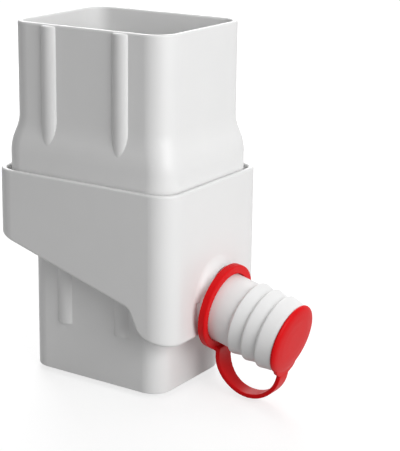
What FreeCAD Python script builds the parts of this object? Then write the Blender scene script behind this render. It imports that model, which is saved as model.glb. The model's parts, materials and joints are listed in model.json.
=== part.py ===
"""Rainwater diverter for a rectangular downspout.

An inlet collar takes the cut end of the downspout and flares out into the rim of the body.
Water that clings to the wall runs into a trough round a central overflow pipe, down the
sloping floor to a sump, and out through a barbed hose spigot.  Surplus water falls down the
overflow pipe, which goes on below as the outlet collar.  A tethered cap closes the spigot.

Frame: +Z up along the downspout, X across its wide side with the spigot at +X, origin in the
middle of the outlet collar's bottom rim.  Millimetres.
"""
import FreeCAD, Part
import os
import Sketcher

SIZES = {
    # Downspout that the diverter is fitted into
    "pipe_width": 101.6,
    "pipe_depth": 76.2,
    # Inlet collar, which goes round the upper downspout and stands in the body's rim
    "pipe_play": 1.7,
    "inlet_wall": 3.0,
    "inlet_corner": 14.0,
    "inlet_rise": 88.0,
    "flare_top": 27.6,
    "flare_foot": 14.8,
    "flare_ease": 5.2,
    "flare_reach_wide": 4.1,
    "flare_reach_deep": 3.3,
    "skirt_reach": 18.0,
    "slip_play": 1.2,
    "inlet_rib_spacing": 51.0,
    "inlet_rib_width": 11.0,
    "inlet_rib_height": 2.6,
    "inlet_rib_drop": 0.7,
    "rim_round": 1.3,
    # Body with its sloping floor and sump
    "body_wall": 3.2,
    "body_corner": 14.0,
    "rim_height": 126.3,
    "floor_height": 86.1,
    "floor_slope": 16.4,
    "floor_round": 2.0,
    "trough_round": 3.0,
    "sump_height": 35.6,
    "sump_slope": 14.5,
    "sump_length": 20.6,
    "sump_lean": 26.0,
    "sump_heel_round": 6.0,
    "sump_toe_round": 12.0,
    "seat_spacing": 60.0,
    "seat_thickness": 3.0,
    "seat_play": 0.2,
    # Outlet collar, which goes into the lower downspout up to its stop ribs
    "outlet_play": 2.6,
    "outlet_wall": 2.5,
    "outlet_corner": 12.4,
    "outlet_edge": 0.6,
    "overflow_height": 104.0,
    "stop_spacing": 42.0,
    "stop_width": 10.5,
    "stop_rise": 2.2,
    "stop_height": 32.5,
    # Hose spigot
    "spigot_height": 52.9,
    "spigot_tilt": 13.7,
    "spigot_length": 52.0,
    "spigot_radius": 20.5,
    "spigot_root": 17.0,
    "root_flare": 6.0,
    "root_sink": 2.5,
    "root_rise": 5.0,
    "root_edge": 0.05,
    "bore_radius": 17.5,
    "bore_root": 11.5,
    "barb_start": 22.5,
    "barb_pitch": 9.35,
    "barb_crest": 22.6,
    "barb_tail": 20.7,
    "barb_lead": 1.4,
    "barb_round": 1.2,
    # Cap with a plug that goes into the spigot
    "cap_radius": 21.3,
    "cap_thickness": 2.6,
    "cap_nose": 2.2,
    "cap_edge": 0.3,
    "cap_play": 0.2,
    "plug_play": 0.3,
    "plug_length": 12.0,
    "plug_wall": 2.0,
    "tab_width": 15.0,
    "tab_reach": 1.8,
    "tab_root": 3.0,
    "tab_thickness": 2.0,
    "tab_back": 0.1,
    # Tether: a ring round the spigot and a strap to the cap
    "ring_radius": 25.4,
    "ring_thickness": 4.0,
    "ring_round": 1.85,
    "ring_play": 0.5,
    "ring_place": 6.5,
    "ring_lean": 10.0,
    "ring_foot": 3.2,
    "strap_lead": 3.6,
    "strap_width": 10.0,
    "strap_thickness": 2.4,
    "strap_slack": 0.1,
    "strap_play": 0.2,
}

# Length by which a cutting solid reaches past the face that it opens
CUT_PAST = 2.0
# Two values closer than this are the same
SAME = 1e-4
# Part of a face's normal along Z above which the face leans, or is a top or underside
LEANS = 0.1
LIES_FLAT = 0.6

doc = FreeCAD.newDocument("rainwater_diverter")
sheet = doc.addObject("Spreadsheet::Sheet", "sizes")
for row, (alias, size) in enumerate(SIZES.items(), start=1):
    sheet.set(f"A{row}", alias.replace("_", " "))
    sheet.set(f"B{row}", str(size))
    sheet.setAlias(f"B{row}", alias)
doc.recompute()


def measure(text):
    """Value of an expression on the sheet's sizes."""
    return float(sheet.evalExpression(text))


def bind(thing, **properties):
    """Tie properties of an object to expressions; a double underscore stands for a dot."""
    for name, text in properties.items():
        thing.setExpression(name.replace("__", "."), text)


def outline(body, name, role, corners):
    """Closed sketch of straight lines on one of the body's own planes, corners as expressions."""
    sketch = body.newObject("Sketcher::SketchObject", name)
    plane = [feature for feature in body.Origin.OriginFeatures if feature.Role == role][0]
    sketch.AttachmentSupport = [(plane, "")]
    sketch.MapMode = "FlatFace"
    points = [FreeCAD.Vector(measure(across), measure(along), 0) for across, along in corners]
    count = len(points)
    for index, point in enumerate(points):
        sketch.addGeometry(Part.LineSegment(point, points[(index + 1) % count]))
    for index in range(count):
        sketch.addConstraint(Sketcher.Constraint("Coincident", index, 2, (index + 1) % count, 1))
    for index, (across, along) in enumerate(corners):
        for kind, text in (("DistanceX", across), ("DistanceY", along)):
            number = sketch.addConstraint(Sketcher.Constraint(kind, -1, 1, index, 1, measure(text)))
            sketch.setExpression(f"Constraints[{number}]", text)
    return sketch


def pad(body, sketch, length):
    """Extrude a sketch to both sides of its plane."""
    feature = body.newObject("PartDesign::Pad", sketch.Name + "_pad")
    feature.Profile = sketch
    feature.SideType = "Symmetric"
    bind(feature, Length=length)
    doc.recompute()
    return feature


def side_normals(shape, edge):
    """Middle of an edge and the outward normals there of the two faces that meet in it."""
    middle = edge.valueAt((edge.FirstParameter + edge.LastParameter) / 2)
    normals = []
    for face in shape.ancestorsOfType(edge, Part.Face):
        normals.append(face.normalAt(*face.Surface.parameter(middle)))
    return middle, normals


def edges_where(shape, test):
    """Numbers of the edges between two faces that pass a test on their middle and normals."""
    chosen = []
    for number, edge in enumerate(shape.Edges, start=1):
        middle, normals = side_normals(shape, edge)
        if len(normals) == 2 and test(edge, middle, *normals):
            chosen.append(number)
    return chosen


def round_off(body, feature, name, radius, test):
    """Fillet the edges of a body's feature that pass a test."""
    fillet = body.newObject("PartDesign::Fillet", name)
    fillet.Base = (feature, [f"Edge{number}" for number in edges_where(feature.Shape, test)])
    bind(fillet, Radius=radius)
    doc.recompute()
    return fillet


def round_solid(name, base, radius, test):
    """Fillet the edges of any solid that pass a test."""
    fillet = doc.addObject("Part::Fillet", name)
    fillet.Base = base
    size = measure(radius)
    fillet.Edges = [(number, size, size) for number in edges_where(base.Shape, test)]
    doc.recompute()
    return fillet


def combine(kind, name, base, tool):
    """Boolean of two objects: Part::Cut, Part::Fuse or Part::Common."""
    result = doc.addObject(kind, name)
    result.Base = base
    result.Tool = tool
    doc.recompute()
    return result


def direction(edge):
    """Unit vector from an edge's first end to its last."""
    return (edge.valueAt(edge.LastParameter) - edge.valueAt(edge.FirstParameter)).normalize()


def is_upright(edge, middle, first, second):
    return abs(direction(edge).z) > 1 - SAME


def is_corner(edge, middle, first, second):
    """Between a face that looks along X and one that looks along Y."""
    faces_x = [abs(normal.x) > abs(normal.y) for normal in (first, second)]
    return faces_x[0] != faces_x[1] and max(abs(first.z), abs(second.z)) < LIES_FLAT


def block(name, width, depth, corner, foot, top):
    """Upright prism with rounded corners, centred on the downspout's axis."""
    body = doc.addObject("PartDesign::Body", name)
    half_width = f"({width}) / 2"
    half_depth = f"({depth}) / 2"
    corners = [
        (f"-{half_width}", f"-{half_depth}"),
        (half_width, f"-{half_depth}"),
        (half_width, half_depth),
        (f"-{half_width}", half_depth),
    ]
    sketch = outline(body, name + "_plan", "XY_Plane", corners)
    prism = pad(body, sketch, f"({top}) - ({foot})")
    round_off(body, prism, name + "_corners", corner, is_upright)
    bind(body, Placement__Base__z=f"(({top}) + ({foot})) / 2")
    doc.recompute()
    return body


def rib(name, across, face, side, width, rise, foot, top):
    """Upright round rib: the part of a cylinder that stands proud of a wall facing along Y."""
    cylinder = doc.addObject("Part::Cylinder", name)
    radius = f"(({width}) ^ 2 / 4 + ({rise}) ^ 2) / (2 * ({rise}))"
    bind(
        cylinder,
        Radius=radius,
        Height=f"({top}) - ({foot})",
        Placement__Base__x=across,
        Placement__Base__y=f"{side} * (({face}) + ({rise}) - {radius})",
        Placement__Base__z=foot,
    )
    doc.recompute()
    return cylinder


def gather(name, pieces):
    """Union of several solids."""
    result = doc.addObject("Part::MultiFuse", name)
    result.Shapes = pieces
    doc.recompute()
    return result


# Heights and widths that several pieces share
TOP = "(sizes.rim_height + sizes.inlet_rise)"
SKIRT_FOOT = "(sizes.rim_height - sizes.skirt_reach)"
INLET_WIDTH = "(sizes.pipe_width + 2 * sizes.pipe_play + 2 * sizes.inlet_wall)"
INLET_DEPTH = "(sizes.pipe_depth + 2 * sizes.pipe_play + 2 * sizes.inlet_wall)"
SKIRT_WIDTH = f"({INLET_WIDTH} + 2 * sizes.flare_reach_wide)"
SKIRT_DEPTH = f"({INLET_DEPTH} + 2 * sizes.flare_reach_deep)"
BODY_WIDTH = f"({SKIRT_WIDTH} + 2 * sizes.slip_play + 2 * sizes.body_wall)"
BODY_DEPTH = f"({SKIRT_DEPTH} + 2 * sizes.slip_play + 2 * sizes.body_wall)"
OUTLET_WIDTH = "(sizes.pipe_width - 2 * sizes.outlet_play)"
OUTLET_DEPTH = "(sizes.pipe_depth - 2 * sizes.outlet_play)"


# Inlet collar: straight collar, S-shaped flare and the skirt that stands inside the body's rim
def flared_prism(name, role, top_width, skirt_width, thickness, foot, top):
    """Profile of the collar seen from one side, extruded straight through."""
    body = doc.addObject("PartDesign::Body", name)
    half_top = f"({top_width}) / 2"
    half_skirt = f"({skirt_width}) / 2"
    flare_top = "sizes.rim_height + sizes.flare_top"
    flare_foot = "sizes.rim_height + sizes.flare_foot"
    corners = [
        (f"-{half_skirt}", foot),
        (half_skirt, foot),
        (half_skirt, flare_foot),
        (half_top, flare_top),
        (half_top, top),
        (f"-{half_top}", top),
        (f"-{half_top}", flare_top),
        (f"-{half_skirt}", flare_foot),
    ]
    prism = pad(body, outline(body, name + "_profile", role, corners), thickness)
    bends = (measure(flare_top), measure(flare_foot))

    def is_bend(edge, middle, first, second):
        level = abs(direction(edge).z) < SAME
        return level and min(abs(middle.z - bend) for bend in bends) < SAME

    lean = f"atan(({half_skirt} - {half_top}) / (sizes.flare_top - sizes.flare_foot))"
    round_off(body, prism, name + "_bends", f"sizes.flare_ease / tan({lean} / 2)", is_bend)
    return body


def flared_solid(name, inset, corner, foot, top):
    """Collar as a full solid: its two side profiles in common, with rounded corners."""
    front = flared_prism(
        name + "_front", "XZ_Plane", f"{INLET_WIDTH} - 2 * ({inset})",
        f"{SKIRT_WIDTH} - 2 * ({inset})", SKIRT_DEPTH, foot, top,
    )
    side = flared_prism(
        name + "_side", "YZ_Plane", f"{INLET_DEPTH} - 2 * ({inset})",
        f"{SKIRT_DEPTH} - 2 * ({inset})", SKIRT_WIDTH, foot, top,
    )
    crossed = combine("Part::Common", name + "_crossed", front, side)
    return round_solid(name, crossed, corner, is_corner)


def inlet_collar():
    outside = flared_solid("inlet_outside", "0", "sizes.inlet_corner", SKIRT_FOOT, TOP)
    hollow = flared_solid(
        "inlet_hollow", "sizes.inlet_wall", "sizes.inlet_corner - sizes.inlet_wall",
        f"{SKIRT_FOOT} - {CUT_PAST}", f"{TOP} + {CUT_PAST}",
    )
    ribs = []
    for side in (-1, 1):
        for place in (-1, 1):
            stem = rib(
                f"inlet_rib_{len(ribs) + 1}", f"{place} * sizes.inlet_rib_spacing / 2",
                f"{INLET_DEPTH} / 2", side, "sizes.inlet_rib_width", "sizes.inlet_rib_height",
                "sizes.rim_height + sizes.flare_foot / 2", f"{TOP} - sizes.inlet_rib_drop",
            )
            tip = measure(f"{TOP} - sizes.inlet_rib_drop")
            ribs.append(round_solid(
                stem.Name + "_tip", stem, "sizes.rim_round",
                lambda edge, middle, first, second: abs(middle.z - tip) < SAME,
            ))
    ribbed = gather("inlet_ribbed", [outside] + ribs)
    shell = combine("Part::Cut", "inlet_shell", ribbed, hollow)
    rim = measure(TOP)
    return round_solid(
        "inlet_collar", shell, "sizes.rim_round",
        lambda edge, middle, first, second: abs(middle.z - rim) < SAME,
    )


# Body: open box with a sloping floor, sump, overflow pipe, outlet collar and hose spigot
def trough_solid(name, inset, top, underside):
    """Body's box as a full solid, set in from its outside by the given wall."""
    body = doc.addObject("PartDesign::Body", name)
    half = f"({BODY_WIDTH} / 2 - ({inset}))"
    floor = f"(sizes.floor_height - ({inset}) * tan(sizes.floor_slope) + ({inset}) / cos(sizes.floor_slope))"
    lift = f"(({inset}) / cos(sizes.sump_slope))"
    toe_step = (f"((({inset}) / cos(sizes.sump_lean) - {lift} * tan(sizes.sump_lean))"
                " / (1 - tan(sizes.sump_lean) * tan(sizes.sump_slope)))")
    toe = f"({BODY_WIDTH} / 2 - sizes.sump_length + {toe_step})"
    toe_height = f"(sizes.sump_height + {lift} + (sizes.sump_length - {toe_step}) * tan(sizes.sump_slope))"
    end_height = f"(sizes.sump_height + {lift} + ({inset}) * tan(sizes.sump_slope))"
    drop = f"({floor} - {toe_height} - tan(sizes.floor_slope) * ({toe} + {half}))"
    climb = f"({drop} / (1 - tan(sizes.floor_slope) * tan(sizes.sump_lean)))"
    corners = [
        (f"-{half}", floor),
        (f"{toe} - {climb} * tan(sizes.sump_lean)", f"{toe_height} + {climb}"),
        (toe, toe_height),
        (half, end_height),
        (half, top),
        (f"-{half}", top),
    ]
    sketch = outline(body, name + "_profile", "XZ_Plane", corners)
    prism = pad(body, sketch, f"{BODY_DEPTH} - 2 * ({inset})")
    heel_x = measure(corners[1][0])
    toe_x = measure(corners[2][0])

    def crosses_at(place):
        return lambda edge, middle, first, second: (
            abs(direction(edge).y) > 1 - SAME and abs(middle.x - place) < SAME
        )

    def is_underside(edge, middle, first, second):
        upright, under = sorted((first, second), key=lambda normal: abs(normal.z))
        return abs(upright.z) < SAME and under.z < -LEANS

    solid = round_off(body, prism, name + "_corners", f"sizes.body_corner - ({inset})", is_upright)
    solid = round_off(body, solid, name + "_heel", f"sizes.sump_heel_round + ({inset})", crosses_at(heel_x))
    solid = round_off(body, solid, name + "_toe", f"sizes.sump_toe_round - ({inset})", crosses_at(toe_x))
    round_off(body, solid, name + "_underside", underside, is_underside)
    return body


def tip_down(thing, across, height, angle):
    """Place an object in the XZ plane with its own X axis turned down by an angle."""
    thing.Placement = FreeCAD.Placement(
        FreeCAD.Vector(0, 0, 0), FreeCAD.Rotation(FreeCAD.Vector(0, 1, 0), 1)
    )
    bind(
        thing,
        Placement__Base__x=across,
        Placement__Base__z=height,
        Placement__Rotation__Angle=angle,
    )


def on_spigot(thing):
    """Stand an object on the spigot's axis, its own X axis pointing out of the spigot."""
    tip_down(thing, f"{BODY_WIDTH} / 2", "sizes.spigot_height", "sizes.spigot_tilt")


def turned(name, corners):
    """Body turned about its own X axis from a profile of distances along it and radii."""
    body = doc.addObject("PartDesign::Body", name)
    sketch = outline(body, name + "_profile", "XZ_Plane", corners)
    feature = body.newObject("PartDesign::Revolution", name + "_turned")
    feature.Profile = sketch
    feature.ReferenceAxis = (sketch, ["H_Axis"])
    feature.Angle = 360
    doc.recompute()
    return body, feature


def at_radius(radius):
    """Test for the edges of a turned body that lie at a radius from its axis."""
    size = measure(radius)
    return lambda edge, middle, first, second: (
        abs((middle.y ** 2 + middle.z ** 2) ** 0.5 - size) < SAME
    )


def on_circle(along, radius):
    """Test for the edge of a turned body that runs round its axis at a place and a radius."""
    place = measure(along)
    same_radius = at_radius(radius)
    return lambda edge, middle, first, second: (
        abs(middle.x - place) < SAME and same_radius(edge, middle, first, second)
    )


def spigot_solid():
    """Hose spigot without its bore: plain root, then barbs that rise sharply and taper outwards."""
    corners = [
        ("-sizes.spigot_root", "0"),
        ("-sizes.spigot_root", "sizes.spigot_radius"),
        ("sizes.barb_start", "sizes.spigot_radius"),
    ]
    crests = []
    barbs = 3
    for number in range(barbs):
        foot = f"sizes.barb_start + {number} * sizes.barb_pitch"
        if number:
            corners.append((foot, "sizes.barb_tail"))
        corners.append((f"{foot} + sizes.barb_lead", "sizes.barb_crest"))
        crests.append(measure(f"{foot} + sizes.barb_lead"))
    corners += [("sizes.spigot_length", "sizes.barb_tail"), ("sizes.spigot_length", "0")]
    body, feature = turned("spigot", corners)

    def is_crest(edge, middle, first, second):
        return min(abs(edge.CenterOfMass.x - crest) for crest in crests) < SAME

    round_off(body, feature, "spigot_crests", "sizes.barb_round", is_crest)
    on_spigot(body)
    return body


def spigot_flare():
    """Concave flare over the spigot's root, where its upper half runs into the wall."""
    neck = "(sizes.spigot_radius - sizes.root_sink)"
    rim = f"({neck} + sizes.root_flare + sizes.root_edge)"
    back = "-sizes.root_edge"
    front = "(sizes.root_flare + sizes.root_edge)"
    corners = [
        ("-sizes.body_wall / 2", "0"),
        ("-sizes.body_wall / 2", rim),
        (back, rim),
        (back, neck),
        (front, neck),
        (front, "0"),
    ]
    body, feature = turned("spigot_flare", corners)
    feature.Midplane = True
    feature.Angle = 180
    doc.recompute()
    round_off(body, feature, "spigot_flare_round", "sizes.root_flare", on_circle(back, neck))
    tip_down(body, f"{BODY_WIDTH} / 2", "sizes.spigot_height + sizes.root_rise", "0")
    return body


def spigot_bore():
    """Straight bore from the sump out through the spigot's end."""
    corners = [
        ("-sizes.bore_root", "0"),
        ("-sizes.bore_root", "sizes.bore_radius"),
        (f"sizes.spigot_length + {CUT_PAST}", "sizes.bore_radius"),
        (f"sizes.spigot_length + {CUT_PAST}", "0"),
    ]
    body, feature = turned("spigot_bore", corners)
    on_spigot(body)
    return body


def inlet_seats():
    """Upright ribs on the wide walls, inside, whose tops carry the inlet's skirt."""
    seats = []
    reach = "(sizes.body_wall + sizes.slip_play + sizes.inlet_wall)"
    for side in (-1, 1):
        for place in (-1, 1):
            seat = doc.addObject("Part::Box", f"inlet_seat_{len(seats) + 1}")
            bind(
                seat,
                Length="sizes.seat_thickness",
                Width=reach,
                Height=f"{SKIRT_FOOT} - sizes.seat_play",
                Placement__Base__x=f"{place} * sizes.seat_spacing / 2 - sizes.seat_thickness / 2",
                Placement__Base__y=f"{side} * ({BODY_DEPTH} - {reach}) / 2 - {reach} / 2",
            )
            seats.append(seat)
    doc.recompute()
    return gather("inlet_seats", seats)


def diverter_body():
    stops = []
    for side in (-1, 1):
        for place in (-1, 1):
            stops.append(rib(
                f"stop_rib_{len(stops) + 1}", f"{place} * sizes.stop_spacing / 2",
                f"{OUTLET_DEPTH} / 2", side, "sizes.stop_width", "sizes.stop_rise",
                "sizes.stop_height", "sizes.floor_height",
            ))
    outside = trough_solid("trough_outside", "0", "sizes.rim_height", "sizes.floor_round")
    massive = gather("body_massive", [outside, spigot_solid(), spigot_flare()] + stops)
    trough = trough_solid(
        "trough", "sizes.body_wall", f"sizes.rim_height + {CUT_PAST}", "sizes.trough_round"
    )
    seated = combine("Part::Cut", "trough_round_seats", trough, inlet_seats())
    shell = combine("Part::Cut", "body_shell", massive, seated)
    pipe = block("overflow_pipe", OUTLET_WIDTH, OUTLET_DEPTH, "sizes.outlet_corner", "0",
                 "sizes.overflow_height")
    piped = combine("Part::Fuse", "body_piped", shell, pipe)
    shaft = block(
        "overflow_shaft", f"{OUTLET_WIDTH} - 2 * sizes.outlet_wall",
        f"{OUTLET_DEPTH} - 2 * sizes.outlet_wall", "sizes.outlet_corner - sizes.outlet_wall",
        f"-{CUT_PAST}", f"sizes.overflow_height + {CUT_PAST}",
    )
    opened = combine("Part::Cut", "body_opened", piped, shaft)
    bored = combine("Part::Cut", "body_bored", opened, spigot_bore())
    rim = measure("sizes.rim_height")
    rimmed = round_solid(
        "body_rimmed", bored, "sizes.rim_round",
        lambda edge, middle, first, second: abs(middle.z - rim) < SAME,
    )
    return round_solid(
        "body", rimmed, "sizes.outlet_edge",
        lambda edge, middle, first, second: abs(middle.z) < SAME,
    )


# Cap: disc with a rounded front and a hollow plug, and the tab that the strap runs into
CAP_BACK = "(sizes.spigot_length + sizes.cap_play)"
TAB_MIDDLE = f"({CAP_BACK} + sizes.tab_back + sizes.tab_thickness / 2)"
TAB_END = "(sizes.cap_radius + sizes.tab_reach)"


def spigot_cap():
    plug = "(sizes.bore_radius - sizes.plug_play)"
    inner = f"({plug} - sizes.plug_wall)"
    web = f"({CAP_BACK} + sizes.cap_thickness - sizes.plug_wall - sizes.cap_play)"
    front = f"({CAP_BACK} + sizes.cap_thickness)"
    corners = [
        (f"{CAP_BACK} - sizes.plug_length", inner),
        (f"{CAP_BACK} - sizes.plug_length", plug),
        (CAP_BACK, plug),
        (CAP_BACK, "sizes.cap_radius"),
        (front, "sizes.cap_radius"),
        (front, "0"),
        (web, "0"),
        (web, inner),
    ]
    body, feature = turned("cap_disc", corners)
    front_rim = on_circle(front, "sizes.cap_radius")
    feature = round_off(body, feature, "cap_front", "sizes.cap_nose", front_rim)
    back_rim = on_circle(CAP_BACK, "sizes.cap_radius")
    round_off(body, feature, "cap_back", "sizes.cap_edge", back_rim)
    on_spigot(body)
    tab = doc.addObject("PartDesign::Body", "cap_tab")
    half_root = "sizes.tab_width / 2"
    half_end = "sizes.strap_width / 2"
    root = "-(sizes.cap_radius - sizes.tab_root)"
    tab_corners = [
        (f"-{half_root}", root),
        (half_root, root),
        (half_end, f"-{TAB_END}"),
        (f"-{half_end}", f"-{TAB_END}"),
    ]
    sketch = outline(tab, "cap_tab_profile", "YZ_Plane", tab_corners)
    bind(sketch, AttachmentOffset__Base__z=TAB_MIDDLE)
    pad(tab, sketch, "sizes.tab_thickness")
    on_spigot(tab)
    doc.recompute()
    return combine("Part::Fuse", "spigot_cap", body, tab)


# Tether: ring that hangs round the spigot's root, and a strap in a round loop down to the cap
def cap_tether():
    inside = "(sizes.spigot_radius + sizes.ring_play)"
    half = "sizes.ring_thickness / 2"
    corners = [
        (f"-{half}", inside),
        (half, inside),
        (half, "sizes.ring_radius"),
        (f"-{half}", "sizes.ring_radius"),
    ]
    ring, feature = turned("ring", corners)
    round_off(ring, feature, "ring_edges", "sizes.ring_round", at_radius("sizes.ring_radius"))
    ring_x = f"({BODY_WIDTH} / 2 + sizes.ring_place * cos(sizes.spigot_tilt))"
    ring_z = "(sizes.spigot_height - sizes.ring_place * sin(sizes.spigot_tilt))"
    tip_down(ring, ring_x, ring_z, "sizes.ring_lean")

    # Foot under the ring that brings the strap forward of it
    foot = doc.addObject("PartDesign::Body", "ring_foot")
    foot_front = "sizes.strap_lead + sizes.strap_thickness / 2"
    foot_corners = [
        (f"-{half}", "-sizes.ring_radius"),
        (foot_front, "-sizes.ring_radius"),
        (foot_front, "sizes.ring_foot - sizes.ring_radius"),
        (f"-{half}", "sizes.ring_foot - sizes.ring_radius"),
    ]
    pad(foot, outline(foot, "ring_foot_profile", "XZ_Plane", foot_corners), "sizes.strap_width")
    tip_down(foot, ring_x, ring_z, "sizes.ring_lean")

    # The strap's ends: in the ring's foot, and just short of the cap's tab
    hold = "(sizes.ring_radius - sizes.strap_thickness / 2)"
    start_x = (f"({ring_x} + sizes.strap_lead * cos(sizes.ring_lean)"
               f" - {hold} * sin(sizes.ring_lean))")
    start_z = (f"({ring_z} - sizes.strap_lead * sin(sizes.ring_lean)"
               f" - {hold} * cos(sizes.ring_lean))")
    stop = f"({TAB_END} + sizes.strap_play)"
    end_x = (f"({BODY_WIDTH} / 2 + {TAB_MIDDLE} * cos(sizes.spigot_tilt)"
             f" - {stop} * sin(sizes.spigot_tilt))")
    end_z = (f"(sizes.spigot_height - {TAB_MIDDLE} * sin(sizes.spigot_tilt)"
             f" - {stop} * cos(sizes.spigot_tilt))")
    run = f"({end_x} - {start_x})"
    fall = f"({start_z} - {end_z})"
    span = f"sqrt({run} ^ 2 + {fall} ^ 2)"
    radius = f"sqrt({span} ^ 2 / 4 + sizes.strap_slack ^ 2)"
    lift = f"atan(2 * sizes.strap_slack / {span})"
    half_width = "sizes.strap_width / 2"
    outer = f"-({radius} + sizes.strap_thickness / 2)"
    inner = f"-({radius} - sizes.strap_thickness / 2)"
    section = [
        (outer, f"-{half_width}"),
        (inner, f"-{half_width}"),
        (inner, half_width),
        (outer, half_width),
    ]
    strap = doc.addObject("PartDesign::Body", "strap")
    sketch = outline(strap, "strap_section", "XY_Plane", section)
    loop = strap.newObject("PartDesign::Revolution", "strap_loop")
    loop.Profile = sketch
    loop.ReferenceAxis = (sketch, ["V_Axis"])
    loop.Reversed = True
    bind(loop, Angle=f"180 deg - 2 * {lift}")
    tip_down(
        strap,
        f"({start_x} + {end_x}) / 2 + sizes.strap_slack * {fall} / {span}",
        f"({start_z} + {end_z}) / 2 + sizes.strap_slack * {run} / {span}",
        f"atan({fall} / {run}) - {lift}",
    )
    doc.recompute()
    return gather("cap_tether", [ring, foot, strap])


pieces = [inlet_collar(), diverter_body(), spigot_cap(), cap_tether()]

for thing in doc.Objects:
    if "Invalid" in thing.State or "Error" in thing.State:
        raise RuntimeError(f"{thing.Name} failed: {thing.State}")
for piece in pieces:
    if piece.Shape.isNull() or not piece.Shape.isValid() or len(piece.Shape.Solids) != 1:
        raise RuntimeError(f"{piece.Label} is not one sound solid")

os.makedirs("parts", exist_ok=True)
for piece in pieces:
    piece.Shape.exportStep(f"parts/{piece.Label}.step")
    box = piece.Shape.BoundBox
    print(piece.Label, f"volume {piece.Shape.Volume:.0f}",
          f"x {box.XMin:.2f} {box.XMax:.2f} y {box.YMin:.2f} {box.YMax:.2f} z {box.ZMin:.2f} {box.ZMax:.2f}")
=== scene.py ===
import json
import math

import bpy
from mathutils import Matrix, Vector


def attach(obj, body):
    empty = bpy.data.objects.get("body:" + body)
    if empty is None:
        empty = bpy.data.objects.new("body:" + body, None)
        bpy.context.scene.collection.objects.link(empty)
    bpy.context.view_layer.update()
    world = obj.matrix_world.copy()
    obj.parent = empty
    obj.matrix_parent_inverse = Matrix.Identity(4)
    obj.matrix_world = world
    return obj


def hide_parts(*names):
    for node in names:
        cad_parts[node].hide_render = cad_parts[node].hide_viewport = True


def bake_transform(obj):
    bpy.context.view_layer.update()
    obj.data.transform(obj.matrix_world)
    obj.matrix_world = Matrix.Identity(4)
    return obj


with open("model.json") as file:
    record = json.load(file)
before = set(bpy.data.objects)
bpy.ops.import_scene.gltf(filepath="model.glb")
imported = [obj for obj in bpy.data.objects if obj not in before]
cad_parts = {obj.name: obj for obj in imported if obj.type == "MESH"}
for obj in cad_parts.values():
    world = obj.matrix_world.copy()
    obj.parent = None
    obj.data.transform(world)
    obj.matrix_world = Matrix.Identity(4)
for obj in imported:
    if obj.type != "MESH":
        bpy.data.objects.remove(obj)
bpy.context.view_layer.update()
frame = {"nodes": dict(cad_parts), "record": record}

# Body of the diverter: an open box with a sloping floor, a sump, an overflow pipe that goes on
# below as the outlet collar, and the barbed spigot, all one injection moulding in white plastic.
# Its skin is satin, with the fine grain of a spark-eroded mould and shallow sink marks.
white_tone = (0.840, 0.840, 0.838, 1.0)
white_shade = (0.805, 0.805, 0.802, 1.0)
white_roughness = (0.36, 0.50)
sinks_per_metre = 38.0
sink_depth = 0.0010
sink_strength = 0.10
grains_per_metre = 1600.0
grain_depth = 0.0001
grain_strength = 0.12


def moulded_plastic(name, shade, tone, roughness, marks_per_metre, mark_depth, mark_strength):
    """A plastic whose tone, gloss and skin vary a little with its flow in the mould."""
    plastic = bpy.data.materials.new(name)
    plastic.use_nodes = True
    nodes = plastic.node_tree.nodes
    links = plastic.node_tree.links
    shader = nodes["Principled BSDF"]
    place = nodes.new("ShaderNodeTexCoord")
    flow = nodes.new("ShaderNodeTexNoise")
    flow.inputs["Scale"].default_value = marks_per_metre
    flow.inputs["Detail"].default_value = 3.0
    links.new(place.outputs["Object"], flow.inputs["Vector"])
    blend = nodes.new("ShaderNodeMix")
    blend.data_type = "RGBA"
    blend.inputs["A"].default_value = shade
    blend.inputs["B"].default_value = tone
    links.new(flow.outputs["Fac"], blend.inputs["Factor"])
    links.new(blend.outputs["Result"], shader.inputs["Base Color"])
    gloss = nodes.new("ShaderNodeMapRange")
    gloss.inputs["To Min"].default_value = roughness[0]
    gloss.inputs["To Max"].default_value = roughness[1]
    links.new(flow.outputs["Fac"], gloss.inputs["Value"])
    links.new(gloss.outputs["Result"], shader.inputs["Roughness"])
    marks = nodes.new("ShaderNodeBump")
    marks.inputs["Strength"].default_value = mark_strength
    marks.inputs["Distance"].default_value = mark_depth
    links.new(flow.outputs["Fac"], marks.inputs["Height"])
    links.new(marks.outputs["Normal"], shader.inputs["Normal"])
    return plastic


white_plastic = moulded_plastic(
    "white_moulded_plastic", white_shade, white_tone, white_roughness,
    sinks_per_metre, sink_depth, sink_strength,
)
nodes = white_plastic.node_tree.nodes
links = white_plastic.node_tree.links
grain = nodes.new("ShaderNodeTexNoise")
grain.inputs["Scale"].default_value = grains_per_metre
grain.inputs["Detail"].default_value = 2.0
links.new(nodes["Texture Coordinate"].outputs["Object"], grain.inputs["Vector"])
grain_bump = nodes.new("ShaderNodeBump")
grain_bump.inputs["Strength"].default_value = grain_strength
grain_bump.inputs["Distance"].default_value = grain_depth
links.new(grain.outputs["Fac"], grain_bump.inputs["Height"])
links.new(nodes["Bump"].outputs["Normal"], grain_bump.inputs["Normal"])
links.new(grain_bump.outputs["Normal"], nodes["Principled BSDF"].inputs["Normal"])

frame["nodes"]["body"].material_slots[0].material = white_plastic

# Inlet collar: a second white moulding, with two round ribs on each wide face, that flares out over
# the overflow pipe.  It stands loose inside the body's rim, so that it lifts for cleaning.
frame["nodes"]["inlet_collar"].material_slots[0].material = white_plastic

# Tether: a ring that hangs round the spigot's root and a flat strap that loops down to the cap,
# moulded with the cap in one shot of soft red plastic, so every edge and inside corner is rounded.
red_tone = (0.740, 0.005, 0.008, 1.0)
red_shade = (0.650, 0.003, 0.005, 1.0)
red_roughness = (0.38, 0.52)
red_specular = 0.12
ripples_per_metre = 90.0
ripple_depth = 0.0005
ripple_strength = 0.12

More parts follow.
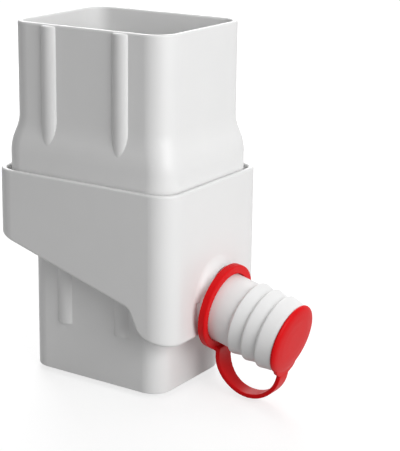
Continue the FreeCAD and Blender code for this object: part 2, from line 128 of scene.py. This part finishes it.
red_plastic = moulded_plastic(
    "red_soft_plastic", red_shade, red_tone, red_roughness,
    ripples_per_metre, ripple_depth, ripple_strength,
)
red_shader = red_plastic.node_tree.nodes["Principled BSDF"]
red_shader.inputs["Specular IOR Level"].default_value = red_specular

spigot = next(mount for mount in frame["record"]["mounts"] if mount["name"] == "hose_spigot")
spigot_out = Vector(spigot["axis"]).normalized()
spigot_down = Vector((spigot_out.z, 0.0, -spigot_out.x))
spigot_length = 0.0520
spigot_root = Vector(spigot["pos_m"]) - spigot_length * spigot_out

ring_outer = 0.0256
ring_drop = 0.0262
ring_inner = 0.0210
ring_thickness = 0.0046
ring_place = 0.0068
ring_lean = math.radians(9.4)
ring_out = Vector((math.cos(ring_lean), 0.0, -math.sin(ring_lean)))
ring_down = Vector((ring_out.z, 0.0, -ring_out.x))
ring_centre = spigot_root + ring_place * spigot_out
round_sides = 128


def select_ends(piece, *outward):
    """Leave only the flat ends of a piece that face the given ways selected, in edit mode."""
    squarely = 0.99
    bpy.ops.object.mode_set(mode="EDIT")
    bpy.ops.mesh.select_mode(type="FACE")
    bpy.ops.mesh.select_all(action="DESELECT")
    bpy.ops.object.mode_set(mode="OBJECT")
    for face in piece.data.polygons:
        face.select = any(face.normal.dot(way) > squarely for way in outward)
    bpy.ops.object.mode_set(mode="EDIT")


bpy.ops.object.select_all(action="DESELECT")
bpy.ops.mesh.primitive_cylinder_add(
    vertices=round_sides, radius=ring_outer, depth=ring_thickness,
    location=ring_centre, rotation=(0.0, math.pi / 2 + ring_lean, 0.0),
)
tether = bpy.context.object
tether.name = "tether"
bpy.ops.object.transform_apply(location=True, rotation=True, scale=True)
select_ends(tether, ring_out, -ring_out)
bpy.ops.mesh.inset(thickness=ring_outer - ring_inner)
bpy.ops.mesh.bridge_edge_loops()
bpy.ops.mesh.select_mode(type="VERT")
bpy.ops.mesh.select_all(action="DESELECT")
bpy.ops.object.mode_set(mode="OBJECT")
for corner in tether.data.vertices:
    corner.select = (corner.co - ring_centre).length > (ring_inner + ring_outer) / 2
bpy.ops.object.mode_set(mode="EDIT")
bpy.ops.transform.resize(value=(1.0, 1.0, ring_drop / ring_outer), center_override=ring_centre)
bpy.ops.mesh.select_all(action="SELECT")
bpy.ops.mesh.normals_make_consistent(inside=False)
bpy.ops.object.mode_set(mode="OBJECT")

strap_width = 0.0100
strap_thickness = 0.0026
strap_lead = 0.0040
foot_height = 0.0026
foot_width = 0.0145
foot_length = ring_thickness / 2 + strap_lead + strap_thickness / 2
foot_middle = foot_length / 2 - ring_thickness / 2
bpy.ops.mesh.primitive_cube_add(
    size=1.0, scale=(foot_length, foot_width, foot_height),
    location=ring_centre + foot_middle * ring_out + (ring_drop - foot_height / 2) * ring_down,
    rotation=(0.0, ring_lean, 0.0),
)
foot = bpy.context.object
bpy.ops.object.transform_apply(location=True, rotation=True, scale=True)

cap_radius = 0.0213
tab_forward = 0.0013
tab_reach = 0.0020
tab_middle = spigot_length + tab_forward
tab_end = cap_radius + tab_reach
strap_start = ring_centre + strap_lead * ring_out + (ring_drop - strap_thickness / 2) * ring_down
strap_end = spigot_root + tab_middle * spigot_out + tab_end * spigot_down
strap_slack = -0.0006
chord = strap_end - strap_start
across = Vector((-chord.z, 0.0, chord.x)).normalized()
loop_centre = (strap_start + strap_end) / 2 + strap_slack * across
loop_sweep = math.pi - 2 * math.atan(2 * strap_slack / chord.length)
loop_steps = 64
into_tab = math.radians(4.0)
start_out = (strap_start - loop_centre).normalized()
bpy.ops.mesh.primitive_plane_add(
    size=1.0, location=strap_start,
    rotation=(0.0, math.atan2(-start_out.z, start_out.x), 0.0),
)
strap = bpy.context.object
strap.scale = (strap_thickness, strap_width, 1.0)
bpy.ops.object.transform_apply(location=True, rotation=True, scale=True)
bpy.ops.object.mode_set(mode="EDIT")
bpy.ops.mesh.select_all(action="SELECT")
bpy.ops.mesh.spin(
    steps=loop_steps, angle=loop_sweep + into_tab, center=loop_centre, axis=(0.0, 1.0, 0.0),
)

tongue_root = 0.55 * strap_width
tongue_length = 0.026
bpy.ops.mesh.select_all(action="DESELECT")
bpy.ops.object.mode_set(mode="OBJECT")
for corner in strap.data.vertices:
    corner.select = (corner.co - strap_start).length < tongue_root
bpy.ops.object.mode_set(mode="EDIT")
bpy.ops.transform.resize(
    value=(1.0, foot_width / strap_width, 1.0), center_override=strap_start,
    use_proportional_edit=True, proportional_edit_falloff="SMOOTH",
    proportional_size=tongue_length,
)
bpy.ops.mesh.select_all(action="DESELECT")
bpy.ops.mesh.select_mode(type="EDGE")
bpy.ops.mesh.select_non_manifold()
bpy.ops.mesh.edge_face_add()
bpy.ops.mesh.select_all(action="SELECT")
bpy.ops.mesh.normals_make_consistent(inside=False)
bpy.ops.object.mode_set(mode="OBJECT")


def mould_in_one(pieces, grid, rounds):
    """Make the pieces one closed red skin with rounded edges, under the first one's name."""
    whole = pieces[0]
    bpy.ops.object.select_all(action="DESELECT")
    for piece in pieces:
        piece.select_set(True)
    bpy.context.view_layer.objects.active = whole
    bpy.ops.object.join()
    weld = whole.modifiers.new("one_moulding", "REMESH")
    weld.mode = "VOXEL"
    weld.voxel_size = grid
    bpy.ops.object.modifier_apply(modifier=weld.name)
    soften = whole.modifiers.new("rounded_edges", "SMOOTH")
    soften.factor = 0.5
    soften.iterations = rounds
    bpy.ops.object.modifier_apply(modifier=soften.name)
    bpy.ops.object.shade_smooth()
    whole.data.materials.append(red_plastic)


mould_in_one((tether, foot, strap), grid=0.00035, rounds=14)
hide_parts("cap_tether")
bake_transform(tether)

# Cap: a low red dome with a hollow plug behind it that is pushed into the spigot, and a tab with
# hollow sides at its lower edge, where the strap runs into it.  One moulding with the tether.
cap_gap = 0.0002
cap_back = spigot_length + cap_gap
cap_side = 0.0010
crown_steps = (
    (0.0003, 0.0006), (0.0006, 0.0005), (0.0011, 0.0005),
    (0.0020, 0.0004), (0.0040, 0.0004), (0.0060, 0.0002),
)
plug_radius = 0.0172
plug_length = 0.0120
plug_wall = 0.0020
spigot_tilt = math.atan2(-spigot_out.z, spigot_out.x)
bpy.ops.object.select_all(action="DESELECT")
bpy.ops.mesh.primitive_cylinder_add(
    vertices=round_sides, radius=cap_radius, depth=cap_side,
    location=spigot_root + (cap_back + cap_side / 2) * spigot_out,
    rotation=(0.0, math.pi / 2 + spigot_tilt, 0.0),
)
cap = bpy.context.object
cap.name = "cap"
bpy.ops.object.transform_apply(location=True, rotation=True, scale=True)
select_ends(cap, spigot_out)
for step_in, step_out in crown_steps:
    bpy.ops.mesh.inset(thickness=step_in)
    bpy.ops.transform.translate(value=step_out * spigot_out)
select_ends(cap, -spigot_out)
bpy.ops.mesh.inset(thickness=cap_radius - plug_radius)
bpy.ops.mesh.extrude_region_move(TRANSFORM_OT_translate={"value": -plug_length * spigot_out})
bpy.ops.mesh.inset(thickness=plug_wall)
bpy.ops.mesh.extrude_region_move(TRANSFORM_OT_translate={"value": plug_length * spigot_out})
bpy.ops.object.mode_set(mode="OBJECT")

tab_thickness = 0.0024
tab_width = 0.0220
tab_tip = 0.0078
tab_top = 0.0175
tab_length = tab_end - tab_top
tab_cuts = 9
bpy.ops.mesh.primitive_cube_add(
    size=1.0, scale=(tab_thickness, tab_width, tab_length),
    location=spigot_root + tab_middle * spigot_out + (tab_top + tab_end) / 2 * spigot_down,
    rotation=(0.0, spigot_tilt, 0.0),
)
tab = bpy.context.object
bpy.ops.object.transform_apply(location=True, rotation=True, scale=True)
bpy.ops.object.mode_set(mode="EDIT")
bpy.ops.mesh.select_all(action="SELECT")
bpy.ops.mesh.subdivide(number_cuts=tab_cuts)
select_ends(tab, spigot_down)
bpy.ops.transform.resize(
    value=(1.0, tab_tip / tab_width, 1.0), center_override=strap_end,
    use_proportional_edit=True, proportional_edit_falloff="SHARP",
    proportional_size=tab_length,
)
bpy.ops.object.mode_set(mode="OBJECT")

mould_in_one((cap, tab), grid=0.0004, rounds=8)
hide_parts("spigot_cap")
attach(cap, "cap")

# Floor: a plain pale sheet close under the outlet's rim, low enough to clear the strap when the cap
# is pulled.  It looks white to the camera and in reflections, and glows a little less round the
# object, where the lamps reach it, so that it keeps the soft shadow.
floor_side = 14.0
floor_drop = 0.0028
floor_tone = (0.38, 0.38, 0.38, 1.0)
glow_near, glow_far = 0.71, 0.90
reach_near, reach_far = 0.20, 1.20
bpy.ops.object.select_all(action="DESELECT")
bpy.ops.mesh.primitive_plane_add(size=floor_side, location=(0.0, 0.0, -floor_drop))
floor = bpy.context.object
floor.name = "studio_floor"
floor_paint = bpy.data.materials.new("pale_floor")
floor_paint.use_nodes = True
nodes = floor_paint.node_tree.nodes
links = floor_paint.node_tree.links
paint = nodes["Principled BSDF"]
paint.inputs["Base Color"].default_value = floor_tone
paint.inputs["Roughness"].default_value = 0.9
paint.inputs["Specular IOR Level"].default_value = 0.0


def seen_as_background(nodes, links):
    """One for rays that show a surface to the camera, also by gloss or a clear piece, else zero."""
    ray = nodes.new("ShaderNodeLightPath")
    seen = ray.outputs["Is Camera Ray"]
    for way in ("Is Glossy Ray", "Is Transmission Ray"):
        either = nodes.new("ShaderNodeMath")
        either.operation = "MAXIMUM"
        links.new(seen, either.inputs[0])
        links.new(ray.outputs[way], either.inputs[1])
        seen = either.outputs["Value"]
    return seen


place = nodes.new("ShaderNodeTexCoord")
reach = nodes.new("ShaderNodeVectorMath")
reach.operation = "LENGTH"
links.new(place.outputs["Object"], reach.inputs[0])
fade = nodes.new("ShaderNodeMapRange")
fade.inputs["From Min"].default_value = reach_near
fade.inputs["From Max"].default_value = reach_far
fade.inputs["To Min"].default_value = glow_near
fade.inputs["To Max"].default_value = glow_far
links.new(reach.outputs["Value"], fade.inputs["Value"])
lift = nodes.new("ShaderNodeMath")
lift.operation = "MULTIPLY"
links.new(seen_as_background(nodes, links), lift.inputs[0])
links.new(fade.outputs["Result"], lift.inputs[1])
glow = nodes.new("ShaderNodeEmission")
links.new(lift.outputs["Value"], glow.inputs["Strength"])
both = nodes.new("ShaderNodeAddShader")
links.new(paint.outputs["BSDF"], both.inputs[0])
links.new(glow.outputs["Emission"], both.inputs[1])
links.new(both.outputs["Shader"], nodes["Material Output"].inputs["Surface"])
floor.data.materials.append(floor_paint)

# Studio light: an even pale room, a large soft box to the right that brightens the spigot side,
# one overhead, and one behind that lifts the rims' tops and the collar's inside.
room_light = 0.275
room_seen = 1.0
room = bpy.data.worlds.new("studio_room")
bpy.context.scene.world = room
room.use_nodes = True
nodes = room.node_tree.nodes
links = room.node_tree.links
level = nodes.new("ShaderNodeMapRange")
level.inputs["To Min"].default_value = room_light
level.inputs["To Max"].default_value = room_seen
links.new(seen_as_background(nodes, links), level.inputs["Value"])
links.new(level.outputs["Result"], nodes["Background"].inputs["Strength"])
nodes["Background"].inputs["Color"].default_value = (1.0, 1.0, 1.0, 1.0)

middle = Vector((0.0, 0.0, 0.10))
for name, where, side, watts in (
    ("right_softbox", (1.22, -0.40, 0.55), 0.9, 13.4),
    ("overhead_softbox", (0.10, 0.20, 1.60), 1.0, 3.6),
    ("back_softbox", (-0.75, 0.95, 0.95), 0.9, 15.0),
):
    bpy.ops.object.light_add(type="AREA", location=where)
    lamp = bpy.context.object
    lamp.name = name
    lamp.data.shape = "SQUARE"
    lamp.data.size = side
    lamp.data.energy = watts
    lamp.rotation_euler = (middle - Vector(where)).to_track_quat("-Z", "Y").to_euler()

# Camera: at the photograph's viewing angle and distance, with the picture's own off-centre frame.
picture_width = 400
picture_height = 451
azimuth = math.radians(35.72)
elevation = math.radians(15.45)
distance = 0.8681
focal_pixels = 1429.9
axis_pixel = (127.63, 208.59)
aim = Vector((0.0, 0.0, 0.0994))
back = Vector((
    math.sin(azimuth) * math.cos(elevation),
    -math.cos(azimuth) * math.cos(elevation),
    math.sin(elevation),
))
bpy.ops.object.camera_add(location=aim + distance * back)
camera = bpy.context.object
camera.rotation_euler = (-back).to_track_quat("-Z", "Y").to_euler()
camera.data.sensor_width = 36.0
camera.data.lens = focal_pixels * camera.data.sensor_width / picture_height
camera.data.shift_x = (picture_width / 2 - axis_pixel[0]) / picture_height
camera.data.shift_y = (axis_pixel[1] - picture_height / 2) / picture_height
camera.data.clip_end = 50.0
bpy.context.scene.camera = camera
bpy.context.scene.view_settings.view_transform = "Standard"
